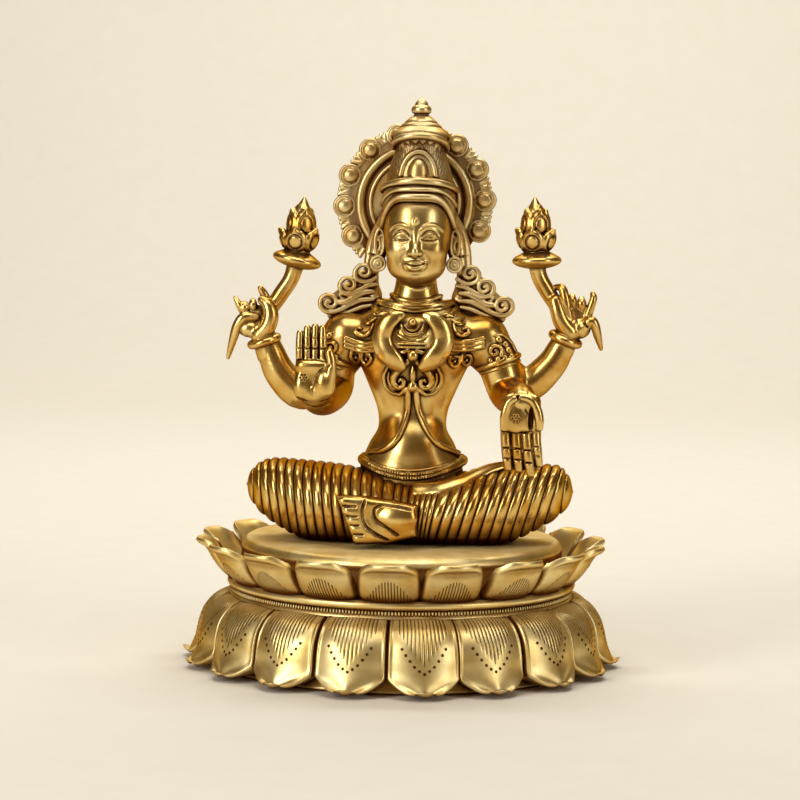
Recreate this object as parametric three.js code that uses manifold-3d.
// Four-armed Lakshmi in cast brass, seated cross-legged on a double lotus plinth.
// Millimetres, +Z up. The origin is the middle of the plinth's underside and she faces -Y.
import * as THREE from "three";
import { mergeVertices } from "three/addons/utils/BufferGeometryUtils.js";
import Module from "manifold-3d";

const wasm = await Module();
wasm.setup();

// Driving dimensions of the plinth
const BASE_DIAMETER = 244;          // across the tips of the lower petals
const FOOT_DIAMETER = 204;          // flat underside
const PLINTH_HEIGHT = 70;           // table to seat
const SEAT_DIAMETER = 177;          // round seat, over its rolled edge
const SEAT_EDGE_ROLL = 3;           // radius of that rolled edge
const WAIST_DIAMETER = 181;         // groove where the upper petals start
const WAIST_HEIGHT = 48;
const BAND_DIAMETER = 190;          // raised band round the waist
const BAND_DEPTH = 10;              // height of the band
const UPPER_TIP_DIAMETER = 226;     // across the tips of the upper petals
const UPPER_TIP_DROP = 1.0;         // how far these tips stay below the seat
const LEAF_THICKNESS = 3;           // wall of an upper petal at its rim
const LEAF_NOTCH = 10;              // drop of the rim between two upper petals
const LEAF_GROOVE = 3.2;            // depth of the groove between them
const GUTTER_DEPTH = 9;             // ditch between the seat and the upper petals
const PETALS = 18;                  // in each row
const PETAL_GROOVE = 3.6;           // depth of the groove between two lower petals
const LOWER_SCALLOP = 11;           // how far the lower rim draws in between two tips
const UPPER_SCALLOP = 9;            // and the upper rim
const TIP_LIFT = 2.6;               // height at which the lower tips turn up

// Driving dimensions of the figure, whose pose and carving are shares of its height
const FIGURE_HEIGHT = 240;          // seat to the tip of the crown
const SEAT_CLEARANCE = 0.3;         // she rests on the seat as a separate casting
const FIGURE_SHIFT = 4.5;           // she sits this far towards her left
const LEAN_DEG = 0.5;               // and leans a little the same way
const RIBS = 14;                    // pleats of the dhoti on each leg
const RIB_DEPTH = 1.3;
const HALO_BOSSES = 14;             // on the full circle, the lowest ones left out
const BOSS_DOME = 2.4;              // how far a boss stands out from the plate

// The figure is written in units of 1/240 of its height, so a unit is 1 mm at full size
const FIGURE_UNITS = 240;
const unit = FIGURE_HEIGHT / FIGURE_UNITS;
const HIP_LEVEL = 35;               // the lean starts here, above the legs
const SEAM = 1.25;                  // facets smaller than this are drawn together

const v = (x, y, z) => new THREE.Vector3(x, y, z);

// A closed skin over rings of equally many points, with a fan at each end
function loft(rings) {
  const n = rings[0].length;
  const points = [];
  const faces = [];
  for (const ring of rings) {
    points.push(...ring);
  }
  for (let i = 0; i < rings.length - 1; i++) {
    for (let k = 0; k < n; k++) {
      const a = i * n + k;
      const b = i * n + (k + 1) % n;
      faces.push(a, b, b + n, a, b + n, a + n);
    }
  }
  for (const [i, turn] of [[0, true], [rings.length - 1, false]]) {
    const middle = rings[i].reduce((sum, p) => sum.add(p), v(0, 0, 0)).divideScalar(n);
    const tip = points.push(middle) - 1;
    for (let k = 0; k < n; k++) {
      const a = i * n + k;
      const b = i * n + (k + 1) % n;
      faces.push(...(turn ? [b, a, tip] : [a, b, tip]));
    }
  }
  return indexed(points, faces);
}

function indexed(points, faces) {
  const geometry = new THREE.BufferGeometry();
  const flat = points.flatMap((p) => [p.x, p.y, p.z]);
  geometry.setAttribute("position", new THREE.Float32BufferAttribute(flat, 3));
  geometry.setIndex(faces);
  return geometry;
}

// A three.js geometry as a solid; one whose faces point inwards is turned first
function solid(geometry) {
  const bare = geometry.clone();
  bare.deleteAttribute("normal");
  bare.deleteAttribute("uv");
  const merged = mergeVertices(bare, 1e-4);
  const spot = merged.getAttribute("position");
  let index = Array.from(merged.getIndex().array);
  index = index.filter((_, i) => {
    const t = i - (i % 3);
    const [a, b, c] = [index[t], index[t + 1], index[t + 2]];
    return a !== b && b !== c && c !== a;
  });
  let volume = 0;
  for (let t = 0; t < index.length; t += 3) {
    const [a, b, c] = [0, 1, 2].map((k) => v().fromBufferAttribute(spot, index[t + k]));
    volume += a.dot(b.cross(c));
  }
  if (volume < 0) {
    index.reverse();
  }
  const mesh = new wasm.Mesh({
    numProp: 3,
    vertProperties: new Float32Array(spot.array),
    triVerts: new Uint32Array(index),
  });
  return new wasm.Manifold(mesh);
}

const join = (solids) => solids.reduce((whole, next) => whole.add(next));

function geometryOf(manifold) {
  const mesh = manifold.getMesh();
  const geometry = new THREE.BufferGeometry();
  const flat = Float32Array.from(mesh.vertProperties);
  geometry.setAttribute("position", new THREE.BufferAttribute(flat, 3));
  geometry.setIndex(new THREE.BufferAttribute(Uint32Array.from(mesh.triVerts), 1));
  return geometry;
}

// Where pieces were joined the skin has slivers. Edges shorter than the given length are drawn
// together, if the skin stays closed and none of the faces around them turns over.
function fused(geometry, shortest) {
  const spot = geometry.getAttribute("position");
  const points = Array.from({ length: spot.count }, (_, i) => v().fromBufferAttribute(spot, i));
  const faces = [];
  for (let t = 0; t < geometry.index.count; t += 3) {
    faces.push([0, 1, 2].map((k) => geometry.index.array[t + k]));
  }
  const around = points.map(() => new Set());
  faces.forEach((face, f) => face.forEach((p) => around[p].add(f)));
  const neighbours = (p) => new Set([...around[p]].flatMap((f) => faces[f]).filter((q) => q !== p));
  const normal = (corners) => {
    const [a, b, c] = corners;
    return v().subVectors(b, a).cross(v().subVectors(c, a));
  };
  const holds = (moved, other, target) => [...around[moved]].every((f) => {
    if (faces[f].includes(other)) {
      return true;
    }
    const before = normal(faces[f].map((p) => points[p]));
    const after = normal(faces[f].map((p) => (p === moved ? target : points[p])));
    return after.dot(before) > 0.8 * after.length() * before.length() && after.length() > 1e-3;
  });
  let again = true;
  while (again) {
    again = false;
    const short = [];
    faces.forEach((face) => face && face.forEach((p, k) => {
      const q = face[(k + 1) % 3];
      const length = points[p].distanceTo(points[q]);
      if (p < q && length < shortest) {
        short.push([length, p, q]);
      }
    }));
    short.sort((a, b) => a[0] - b[0]);
    for (const [length, p, q] of short) {
      const linked = [...around[p]].some((f) => faces[f].includes(q));
      if (!linked || points[p].distanceTo(points[q]) > length + 1e-9) {
        continue;
      }
      const shared = [...neighbours(p)].filter((r) => neighbours(q).has(r));
      const ends = [points[p], points[q]];
      const target = ends.find((end) => holds(p, q, end) && holds(q, p, end));
      if (shared.length !== 2 || !target) {
        continue;
      }
      points[p] = target.clone();
      for (const f of [...around[q]]) {
        if (faces[f].includes(p)) {
          faces[f].forEach((r) => around[r].delete(f));
          faces[f] = null;
        } else {
          faces[f] = faces[f].map((r) => (r === q ? p : r));
          around[p].add(f);
        }
      }
      around[q].clear();
      again = true;
    }
  }
  return indexed(points, faces.filter(Boolean).flat());
}

// A round or flattened limb along a smooth line. Each stop is [x, y, z, radius, flatness],
// and the flatness is thickness over width, the thickness lying along the facing direction.
function limb(stops, { sides = 8, steps = 6, facing = v(0, -1, 0) } = {}) {
  const curve = new THREE.CatmullRomCurve3(stops.map(([x, y, z]) => v(x, y, z)), false, "centripetal");
  const last = stops.length - 1;
  const rings = [];
  for (let i = 0; i <= steps; i++) {
    const t = i / steps;
    const seat = Math.min(Math.floor(t * last), last - 1);
    const mix = t * last - seat;
    const between = (k, rest) => THREE.MathUtils.lerp(stops[seat][k] ?? rest, stops[seat + 1][k] ?? rest, mix);
    const along = curve.getTangent(t);
    const across = v().crossVectors(along, facing).normalize();
    const out = v().crossVectors(across, along).normalize();
    const middle = curve.getPoint(t);
    const radius = between(3, 1);
    const flat = between(4, 1);
    rings.push(Array.from({ length: sides }, (_, k) => {
      const a = (k + 0.5) / sides * Math.PI * 2;
      return middle.clone()
        .addScaledVector(across, radius * Math.cos(a))
        .addScaledVector(out, radius * flat * Math.sin(a));
    }));
  }
  return solid(loft(rings));
}

function ball(x, y, z, rx, ry, rz, wide = 10, high = 6) {
  const geometry = new THREE.SphereGeometry(1, wide, high);
  return solid(geometry.scale(rx, ry, rz).translate(x, y, z));
}

// A turned form: profile of [radius, height] pairs about an upright axis, then placed
function turned(profile, sides, place) {
  const outline = profile.map(([r, h]) => new THREE.Vector2(r, h));
  const geometry = new THREE.LatheGeometry(outline, sides).rotateX(Math.PI / 2);
  return solid(geometry.applyMatrix4(place));
}

// Carries the +Z axis of a turned form onto a direction at a point
function towards(point, direction) {
  const turn = new THREE.Quaternion().setFromUnitVectors(v(0, 0, 1), direction.clone().normalize());
  return new THREE.Matrix4().compose(point, turn, v(1, 1, 1));
}

// Rings of the torso: height, half width, reach to the front, reach to the back
const TORSO = [
  [8, 29, 18, 24], [34, 30, 25, 23], [42, 27, 24, 20], [50, 24.4, 20.5, 17], [59, 18.8, 15.6, 13],
  [70, 19.6, 15, 13.5], [81, 23.7, 17.5, 15], [92, 29, 20.5, 16.5], [107, 35.4, 22, 18],
  [116, 37, 18, 16], [122, 30, 14, 13], [128, 19, 14, 12], [134, 13, 12, 10.6], [145, 11, 10.5, 10],
];

// A cosine or sine pushed outwards, so that a circle becomes a rounded square
const bowed = (c, squareness) => Math.sign(c) * Math.abs(c) ** (2 / squareness);

function oval(halfWidth, front, back, height, sides, squareness = 2.3) {
  return Array.from({ length: sides }, (_, k) => {
    const a = (k + 0.5) / sides * Math.PI * 2;
    const s = bowed(Math.sin(a), squareness);
    return v(halfWidth * bowed(Math.cos(a), squareness), s < 0 ? s * front : s * back, height);
  });
}

function torso() {
  const trunk = TORSO.map(([h, w, f, b]) => oval(w, f, b, h, 12));
  const bust = [-1, 1].map((side) => ball(side * 10.6, -15.5, 108, 12.2, 12.5, 13.4, 10, 6));
  const shoulders = [-1, 1].map((side) => ball(side * 37, 0, 108.5, 12.6, 12, 12.8, 8, 6));
  return [solid(loft(trunk)), ...bust, ...shoulders];
}

// Head rings: height, half width, front, back. The face is a plain calm oval.
const HEAD = [
  [138, 7.5, -14, 7], [141.5, 8.5, -26, 9], [147.5, 13, -27.5, 11], [157, 16.8, -27.5, 12.5],
  [168, 18, -28, 13.5], [184, 19, -25.5, 14],
];

function head() {
  const rings = HEAD.map(([h, w, front, back]) => {
    const middle = (front + back) / 2;
    const reach = (back - front) / 2;
    return oval(w, reach, reach, h, 12, 2.2).map((p) => p.add(v(0.5, middle, 0)));
  });
  const nose = limb([[0.5, -27, 174, 1.6], [0.5, -30, 163, 3], [0.5, -26, 160.5, 2.4]], { sides: 4, steps: 2 });
  const lips = ball(0.5, -26.6, 154.2, 4.6, 2.2, 1.9, 6, 3);
  const eyes = [-1, 1].map((side) => ball(0.5 + side * 7.2, -26, 170, 4.4, 2, 1.9, 6, 3));
  const ears = [-1, 1].map((side) => ball(0.5 + side * 18.8, -5, 161.5, 2.8, 4.2, 10, 5, 4));
  return [solid(loft(rings)), nose, lips, ...eyes, ...ears];
}

// Tall crown: profile of [radius, height]; its brim arches up over the forehead
const CROWN = [
  [18.5, 178], [21.6, 183], [21.6, 188.5], [19, 191], [15.8, 209], [17.4, 212.5], [16.6, 216],
  [14.2, 217.5], [13.6, 220.5], [10.2, 223.5], [8.6, 226], [3.6, 229], [4.6, 233], [1.7, 236.5], [0.3, 240],
];

function crown() {
  const sides = 12;
  const brim = 213.5;
  const arch = (h, a) => 5 * Math.max(0, -Math.sin(a)) * Math.exp(-(((h - brim) / 7) ** 2));
  const rings = CROWN.map(([r, h]) => Array.from({ length: sides }, (_, k) => {
    const a = (k + 0.5) / sides * Math.PI * 2;
    return v(0.5 + r * Math.cos(a), -5 + r * 0.97 * Math.sin(a), h + arch(h, a));
  }));
  const plaque = limb([[0.5, -21, 189, 5, 0.5], [0.5, -21.5, 198, 8, 0.4], [0.5, -20, 206, 5.5, 0.4],
    [0.5, -19, 211, 1, 0.6]], { sides: 6, steps: 4 });
  return [solid(loft(rings)), plaque];
}

// Halo: a plate behind the head with a rolled ring, and a rim of round bosses.
// It is open below the ears, where the neck and the curls stand clear of each other.
const HALO = {
  x: -2.6, y: 12, z: 183, hub: 2, thick: 5, ring: 30, rim: 37, bossReach: 43.6, from: -48, to: 238,
};

function halo() {
  const pitch = 360 / HALO_BOSSES;
  const count = Math.floor((HALO.to - HALO.from) / pitch);
  const start = 90 - count * pitch / 2;
  const columns = [];
  for (let boss = 0; boss < count; boss++) {
    for (const share of [0, 0.25, 0.5, 0.75]) {
      columns.push({ angle: start + (boss + share) * pitch, swell: Math.sin(share * Math.PI) });
    }
  }
  columns.push({ angle: start + count * pitch, swell: 0 });
  const rings = columns.map(({ angle, swell }) => {
    const a = THREE.MathUtils.degToRad(angle);
    const reach = HALO.rim + (HALO.bossReach - HALO.rim) * swell ** 0.6;
    const half = HALO.thick / 2;
    const section = [[HALO.hub, half], [HALO.ring - 4, half], [HALO.ring, half + 2.4],
      [HALO.ring + 3.4, half - 0.4], [(HALO.rim + reach) / 2, half + BOSS_DOME * swell], [reach, 0],
      [HALO.ring, -half], [HALO.hub, -half]];
    return section.map(([r, out]) => v(HALO.x + r * Math.cos(a), HALO.y - out, HALO.z + r * Math.sin(a)));
  });
  return [solid(loft(rings))];
}

// Hair: a plait down the back, and curls that step down over each shoulder
const CURLS = [[29.2, 1, 144.4], [37.6, -1, 136.6], [47, -3, 128.2]];

function hair() {
  const plait = limb([[0, 12, 158, 12, 0.55], [0, 14, 140, 9, 0.6], [0, 18, 118, 9, 0.5], [0, 18, 100, 5, 0.5]],
    { sides: 6, steps: 4 });
  const parts = [plait];
  for (const side of [-1, 1]) {
    const lock = (stops) => limb(stops.map(([x, ...rest]) => [side * x, ...rest]), { sides: 5, steps: 5 });
    const inner = [[19, 6, 158, 3.2], [22, 2, 147, 3], [21.5, -2, 137, 3], [26, -4, 128.5, 3.2],
      [40, -3, 119, 2.6]];
    const outer = [[25, 5, 154, 2.4], [27.6, 2, 141, 3], [35.6, 0, 133.6, 3], [43.6, -2, 125.6, 3],
      [44, -3, 116, 3]];
    parts.push(lock(inner), lock(outer));
    for (const [x, y, z] of CURLS) {
      const coil = [[0, -3], [3.9, -3], [3.6, 2.6], [1.6, 2], [0, 3]];
      parts.push(turned(coil, 8, towards(v(side * x, y, z), v(0, -1, 0))));
    }
  }
  return parts;
}

function earrings() {
  const disc = [[0, -4], [4.3, -4], [4.3, 1.2], [0, 2.2]];
  return [-1, 1].map((side) => turned(disc, 8, towards(v(0.3 + side * 20.6, -8, 150.4), v(0, -1, 0))));
}

// Jewellery on the breast: choker, collar, bodice plaque with its boss and scrolls, strands
function ornaments() {
  const arc = (w, front, back, top, drop, r) => {
    const stops = [];
    for (let k = 0; k <= 4; k++) {
      const a = Math.PI * (k / 4);
      const depth = Math.sin(a);
      stops.push([w * Math.cos(a), back + (front - back) * depth, top - drop * depth ** 2, r, 0.8]);
    }
    return limb(stops, { sides: 4, steps: 9, facing: v(0, 0, 1) });
  };
  const shield = new THREE.Shape();
  shield.moveTo(-11.5, 12);
  shield.lineTo(11.5, 12);
  shield.lineTo(10.5, 2);
  shield.lineTo(2.4, -6);
  shield.lineTo(-2.4, -6);
  shield.lineTo(-10.5, 2);
  const plate = new THREE.ExtrudeGeometry(shield, { depth: 12, bevelEnabled: false });
  plate.rotateX(Math.PI / 2 + 0.06).translate(0.4, -17.5, 106);
  const parts = [
    arc(14.6, -15, -2, 134, 4.6, 1.9),
    arc(25.5, -21, -4, 127.5, 4, 2.2),
    solid(plate),
    ball(1.2, -28.6, 101.6, 2.8, 3, 2.8, 6, 4),
  ];
  const scroll = [[0, -5], [2.9, -5], [2.9, 1], [0, 1.8]];
  for (const side of [-1, 1]) {
    parts.push(turned(scroll, 7, towards(v(0.6 + side * 5.8, -20.5, 88.4), v(0, -1, 0))));
    parts.push(limb([[side * 2, -25, 99, 2.4], [side * 5, -22, 93, 2.2], [side * 9, -19, 87.5, 1.6]],
      { sides: 4, steps: 2 }));
    const strand = [[0.5 + side * 1.4, -20.5, 86], [1 + side * 2.6, -15.6, 70], [1 + side * 8, -17.6, 57],
      [0.6 + side * 15, -17, 50.5], [side * 24, -9, 47]];
    parts.push(limb(strand.map((p) => [...p, 1.7]), { sides: 4, steps: 6 }));
  }
  return parts;
}

function waistCloth() {
  const belt = new THREE.LatheGeometry(
    [[26, -2], [30, 0], [26, 2], [26, -2]].map(([r, h]) => new THREE.Vector2(r, h)), 16);
  belt.rotateX(Math.PI / 2).scale(1, 0.78, 1).rotateX(-0.12).translate(0, -1, 42);
  const sash = limb([[-12, -40, 27, 5, 0.4], [5, -43, 29, 5.4, 0.4], [24, -39, 34, 5, 0.4],
    [43, -27, 41.4, 3.6, 0.4], [52, -18, 43, 2, 0.4]], { sides: 6, steps: 5, facing: v(0, -0.7, 0.7) });
  return [solid(belt), sash];
}

// Stations of a leg: distance out from the middle, centre in depth, half depth, underside, top
const LEG = [
  [0, -15, 37, -2, 36.5], [20, -15, 38, -2, 37.5], [40, -16, 35.5, -2, 40], [58, -16, 30.5, -1, 42.5],
  [72, -15, 24, 5, 43], [81, -14, 17.5, 11.5, 40.5], [87, -13, 10, 19.5, 35.5], [89.3, -13, 4, 25.5, 31],
];
const LEG_SECTION = [4, 26, 48, 72, 100, 132, 164, 200, 245, 295, 338];   // degrees, front and top closest
const LEG_SQUARENESS = 2.25;
const LEG_SLOPE = { right: 0.12, left: 0.3 };
const KNEE = LEG[LEG.length - 1][0];

function legStation(x) {
  let i = 0;
  while (i < LEG.length - 2 && x > LEG[i + 1][0]) {
    i++;
  }
  const mix = (x - LEG[i][0]) / (LEG[i + 1][0] - LEG[i][0]);
  return LEG[i].map((value, k) => THREE.MathUtils.lerp(value, LEG[i + 1][k], mix));
}

// A slice through a leg: side -1 is her right, sunk is the depth of the groove there
function legSlice(side, x, sunk) {
  const [, middle, reach, low, top] = legStation(x);
  const half = (top - low) / 2;
  const slope = side < 0 ? LEG_SLOPE.right : LEG_SLOPE.left;
  const slant = slope * Math.min(1, (KNEE - x) / 12) * Math.min(1, x / 20);
  return LEG_SECTION.map((degrees) => {
    const a = THREE.MathUtils.degToRad(degrees);
    const dy = bowed(Math.cos(a), LEG_SQUARENESS) * (reach - sunk);
    const dz = bowed(Math.sin(a), LEG_SQUARENESS) * (half - sunk);
    return v(side * (x + slant * dz), middle - dy, Math.max(0, low + half + dz));
  });
}

// Thighs and shins are one pleated mass from knee to knee, resting flat on the seat
function legs() {
  const inner = 6;
  const pitch = (KNEE - inner) / RIBS;
  const places = [];
  for (let k = 0; k < RIBS; k++) {
    places.push([inner + k * pitch, RIB_DEPTH], [inner + (k + 0.5) * pitch, 0]);
  }
  places.push([KNEE, 0]);
  const right = places.map(([x, sunk]) => legSlice(-1, x, sunk)).reverse();
  const left = places.map(([x, sunk]) => legSlice(1, x, sunk));
  return solid(loft([...right, ...left]));
}

// The left foot lies across the lap with its sole to the front
function foot() {
  const stations = [[-34, 4, 26.5, -60, 3], [-28, 3.6, 26.2, -60, 5.5], [-18, 4, 25.6, -58.5, 7],
    [-6, 5.6, 24.6, -57.5, 7.5], [3, 7.4, 24, -56.5, 7], [7.4, 11, 21, -56, 4]];
  const rings = stations.map(([x, low, top, y, thick], i) => {
    const slant = 0.42 * (1 - i / (stations.length - 1));
    return Array.from({ length: 8 }, (_, k) => {
      const a = (k + 0.5) / 8 * Math.PI * 2;
      const dz = Math.sin(a) * (top - low) / 2;
      return v(x - slant * dz, y + Math.cos(a) * thick, (top + low) / 2 + dz);
    });
  });
  const toes = [0, 1, 2, 3, 4].map((k) => {
    const drop = k / 4;
    const size = 3.1 - 0.9 * drop;
    return ball(-36 + 9.6 * drop, -61, 24 - 18 * drop, size, 3.2, 2.5 - 0.4 * drop, 5, 4);
  });
  return [solid(loft(rings)), ...toes];
}

// Shoulder to wrist, with the armlet or bracelet as a step in the radius
const ARMS = {
  frontRight: [[-36, 0, 110, 12.5], [-42, 1, 99, 11.2], [-42.4, 1, 97.6, 13], [-43.2, 1, 95, 13],
    [-43.4, 1, 93.6, 11], [-44, 0, 81, 10.4], [-46, -22, 77, 9.4], [-48, -44, 79, 9.2], [-48.5, -54, 82, 8]],
  frontLeft: [[36, 0, 110, 12.5], [44.6, 0, 100, 11.8], [45.2, 0, 98.6, 13.4], [46.6, 0, 96, 13.4],
    [47.2, 0, 94.6, 11.6], [52, -4, 81, 10.6], [56, -24, 79, 9], [59.5, -46, 81.5, 7.8], [60, -54, 80, 6.5]],
  rearRight: [[-30, 8, 108, 10], [-47, 12, 88, 10], [-62.4, 14, 77, 9.8], [-75, 14, 87, 8.8],
    [-81, 14, 99.6, 7.4], [-81.5, 14, 100.4, 9.6], [-83.2, 14, 103.6, 9.6], [-83.6, 14, 104.4, 7],
    [-87, 12.5, 112, 6.6]],
  rearLeft: [[30, 8, 108, 10], [47, 12, 93, 9.6], [61, 14, 83.5, 9.4], [74, 14, 94, 8.3],
    [80.2, 14, 104.6, 7.4], [80.6, 14, 105.4, 9.6], [82.2, 14, 108.6, 9.6], [82.6, 14, 109.4, 7],
    [86, 12.5, 117, 6.6]],
};

function arms() {
  const build = (stops) => limb(stops, { sides: 8, steps: stops.length - 1, facing: v(0.35, -0.5, 0.8) });
  const crest = limb([[52, -4, 92, 3, 0.5], [56.5, -5, 99, 4, 0.5], [57, -4, 106, 1, 0.5]],
    { sides: 5, steps: 2 });
  return [...Object.values(ARMS).map(build), crest];
}

const finger = (stops) => limb(stops, { sides: 4, steps: 2 });

// Her right hand is raised, palm to the front; her left hand points down, palm to the front
function frontHands() {
  const raised = limb([[-48.4, -53, 79, 9.4, 0.6], [-48.6, -57, 90, 10.2, 0.45], [-49, -58.5, 102, 9.6, 0.36]],
    { sides: 6, steps: 3 });
  const raisedTips = [[-57.4, 113.6], [-52.2, 117], [-47, 118.7], [-42, 118.6]];
  const up = raisedTips.map(([x, z], k) => finger([[-56.2 + 4.9 * k, -58, 100, 2.7], [x, -59.5, 108, 2.6],
    [x, -60, z, 1.9]]));
  const thumbUp = finger([[-41.5, -56.5, 85, 4.2], [-37.8, -60.5, 95, 3.1], [-39.8, -61.5, 107, 1.9]]);
  const lowered = limb([[60.4, -53, 84, 8.8, 0.6], [60.8, -57, 74, 10.6, 0.45], [61.4, -58.5, 62, 9.8, 0.36]],
    { sides: 6, steps: 3 });
  const loweredTips = [[54.6, 43.4], [59.6, 41.8], [66, 40], [71.2, 47]];
  const down = loweredTips.map(([x, z], k) => finger([[53.8 + 5 * k, -58, 64, 2.7],
    [(x + 53.8 + 5 * k) / 2, -59.5, 55, 2.6], [x, -60, z, 1.9]]));
  const thumbDown = finger([[67.4, -56.5, 80, 4], [71.4, -60.5, 72, 3.1], [69, -62, 62, 2]]);
  return [raised, ...up, thumbUp, lowered, ...down, thumbDown];
}

// Each rear hand pinches the stem of a lotus bud; the little finger stands out, one hangs down
function rearHand(side, dx, dz) {
  const place = (stops) => stops.map(([x, y, z, ...rest]) => [side * (x + dx), y, z + dz, ...rest]);
  const palm = ball(side * (87.5 + dx), 11.5, 114.5 + dz, 7.2, 5.6, 7.8, 6, 5);
  return [
    palm,
    finger(place([[84, 9, 117, 3.2], [80.5, 8, 122.5, 2.9], [84.4, 8, 129.4, 2.1]])),
    finger(place([[88, 8, 119, 2.8], [88, 3.5, 123, 2.6], [85, 6, 126, 2]])),
    finger(place([[92, 8, 118.5, 2.6], [93, 4, 122, 2.5], [90, 6.5, 125, 1.9]])),
    finger(place([[92, 10, 119, 2.4], [97.6, 8.5, 117.5, 2.5], [102.8, 9.5, 97.5, 1.4]])),
    finger(place([[93, 10, 120, 2.4], [97.4, 8.5, 124, 2], [100.4, 8, 128.4, 1.1]])),
  ];
}

// A lotus bud: stem, tilted saucer and two tiers of pointed leaves
const BUD = [[7, 0.6], [10.8, 4], [11.4, 9.5], [8.6, 12.5], [9.8, 16], [7.6, 21.5], [3, 27.5], [0.4, 31]];

function lotus(side, stem, saucer, tiltDeg) {
  const [x, y, z] = saucer;
  const tilt = THREE.MathUtils.degToRad(tiltDeg);
  const place = towards(v(side * x, y, z), v(Math.sin(tilt), 0, Math.cos(tilt)));
  const dish = turned([[0, -4.5], [12.8, -0.6], [12.8, 1.8], [0, 2.6]], 12, place);
  const leaves = 6;
  const sides = leaves * 2;
  const rings = BUD.map(([r, h], row) => Array.from({ length: sides }, (_, k) => {
    const lower = row < 3;
    const ridge = (k % 2 === 0) === lower;
    const a = k / sides * Math.PI * 2;
    const swell = ridge ? 1.05 : 0.86;
    return v(r * swell * Math.cos(a), r * swell * Math.sin(a), h + 1.2).applyMatrix4(place);
  }));
  const stalk = limb(stem.map(([a, b, c, r]) => [side * a, b, c, r]), { sides: 5, steps: 5 });
  return [stalk, dish, solid(loft(rings))];
}

function lotuses() {
  return [
    ...lotus(-1, [[86, 11, 118, 3], [81.8, 11.5, 126, 3.4], [74.8, 12, 132.5, 3.7], [70.5, 12, 141, 3.5],
      [69, 12, 149, 3.6]], [67.8, 12, 151], 6),
    ...lotus(1, [[84, 11, 122, 3], [79, 11.5, 128.4, 3.4], [70.6, 12, 134.6, 3.7], [65.4, 12, 143, 3.5],
      [64, 12, 151, 3.6]], [63.9, 12, 153.4], -3),
  ];
}

// Everything above the seat is one casting
function figure() {
  const cast = join([
    ...torso(), ...head(), ...crown(), ...halo(), ...hair(), ...earrings(), ...ornaments(), ...waistCloth(),
    legs(), ...foot(), ...arms(), ...frontHands(),
    ...rearHand(-1, 0, 0), ...rearHand(1, -1.6, 4.8), ...lotuses(),
  ]);
  const under = new THREE.BoxGeometry(2, 2, 1).translate(0, 0, -0.5);
  under.scale(FIGURE_UNITS, FIGURE_UNITS, FIGURE_UNITS);
  const geometry = fused(geometryOf(cast.subtract(solid(under))), SEAM);
  const spot = geometry.getAttribute("position");
  const lean = Math.tan(THREE.MathUtils.degToRad(LEAN_DEG));
  for (let i = 0; i < spot.count; i++) {
    const [x, y, z] = [spot.getX(i), spot.getY(i), spot.getZ(i)];
    spot.setXYZ(i, unit * (x + lean * Math.max(0, z - HIP_LEVEL)), unit * y, unit * z);
  }
  return geometry;
}

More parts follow.
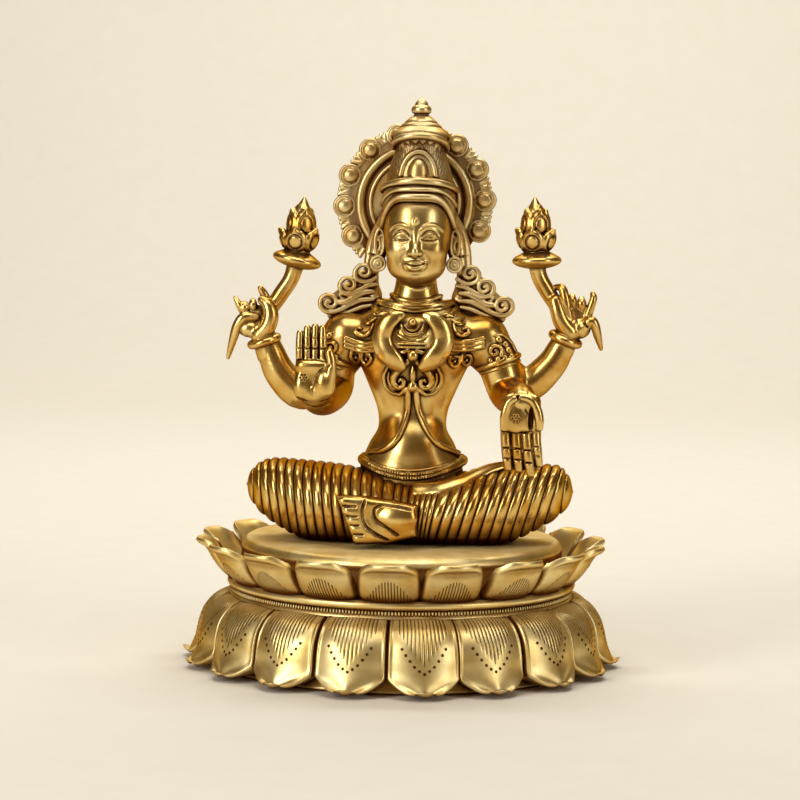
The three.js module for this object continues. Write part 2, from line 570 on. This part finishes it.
// The double lotus plinth is one turned form whose outline swells and dips with the petals.
// across runs from -1 to 1 over one petal, and each row gives [radius, height] at that place.
function plinthOutline(lowerAcross, upperAcross) {
  const seat = SEAT_DIAMETER / 2;
  const waist = WAIST_DIAMETER / 2;
  const band = BAND_DIAMETER / 2;
  const bandFoot = WAIST_HEIGHT - BAND_DEPTH;
  const dipLower = Math.abs(lowerAcross) ** 3;
  const dipUpper = Math.abs(upperAcross) ** 3;
  const lowerTip = BASE_DIAMETER / 2 - LOWER_SCALLOP * Math.abs(lowerAcross) ** 1.7;
  const groove = PETAL_GROOVE * dipLower;
  // Share of the way out to the tip, share of the way down to the table, share of the groove
  const lowerRows = [[1.0, 0.93, 0], [0.78, 0.8, 0.6], [0.66, 0.6, 1], [0.58, 0.38, 1], [0.36, 0.13, 0.8]];
  const rootLower = band - 4;
  const lower = lowerRows.map(([out, down, share]) => [
    rootLower + (lowerTip - rootLower) * out - groove * share,
    Math.max(bandFoot * (1 - down), TIP_LIFT * (1 + 0.6 * dipLower)),
  ]);
  const rimTop = PLINTH_HEIGHT - UPPER_TIP_DROP - LEAF_NOTCH * dipUpper;
  const rimOut = UPPER_TIP_DIAMETER / 2 - UPPER_SCALLOP * dipUpper;
  const rootUpper = waist;
  const rise = rimTop - WAIST_HEIGHT;
  const flare = rimOut - rootUpper;
  const sunk = LEAF_GROOVE * dipUpper;
  const gutter = PLINTH_HEIGHT - GUTTER_DEPTH;
  return [
    [FOOT_DIAMETER / 2, 0],
    [lowerTip - 5, TIP_LIFT * 0.25 * (1 + dipLower)],
    ...lower,
    [rootLower, bandFoot],
    [band, bandFoot + BAND_DEPTH * 0.12],
    [band, bandFoot + BAND_DEPTH * 0.72],
    [waist, WAIST_HEIGHT],
    [rootUpper + flare * 0.28 - sunk, WAIST_HEIGHT + rise * 0.3],
    [rootUpper + flare * 0.6 - sunk, WAIST_HEIGHT + rise * 0.68],
    [rimOut, rimTop],
    [rimOut - LEAF_THICKNESS, rimTop + 0.6],
    [seat + (rimOut - LEAF_THICKNESS - seat) * 0.4, gutter + (rimTop - gutter) * 0.25],
    [seat, gutter],
    [seat, PLINTH_HEIGHT - SEAT_EDGE_ROLL],
    [seat - SEAT_EDGE_ROLL, PLINTH_HEIGHT],
  ];
}

function plinth() {
  const places = [-1, -0.62, 0, 0.62];
  const columns = [];
  for (let petal = 0; petal < PETALS; petal++) {
    for (const across of places) {
      const turn = (petal + 0.5 + across / 2) / PETALS * Math.PI * 2;
      const upper = across > 0 ? across - 1 : across + 1;
      columns.push({ turn, outline: plinthOutline(across, upper) });
    }
  }
  const rows = columns[0].outline.length;
  const rings = Array.from({ length: rows }, (_, i) => columns.map(({ turn, outline }) => {
    const [r, z] = outline[i];
    return v(r * Math.sin(turn), -r * Math.cos(turn), z);
  }));
  return geometryOf(solid(loft(rings)));
}

function brass(color, roughness) {
  return new THREE.MeshStandardMaterial({ color, roughness, metalness: 1 });
}

const plinthMesh = new THREE.Mesh(plinth(), brass(0xc9ad62, 0.34));
plinthMesh.name = "lotus_plinth";

const figureMesh = new THREE.Mesh(figure(), brass(0xbf8f38, 0.3));
figureMesh.name = "lakshmi_figure";
figureMesh.position.set(FIGURE_SHIFT, 0, PLINTH_HEIGHT + SEAT_CLEARANCE);

const model = new THREE.Group();
model.add(plinthMesh, figureMesh);

export default model;
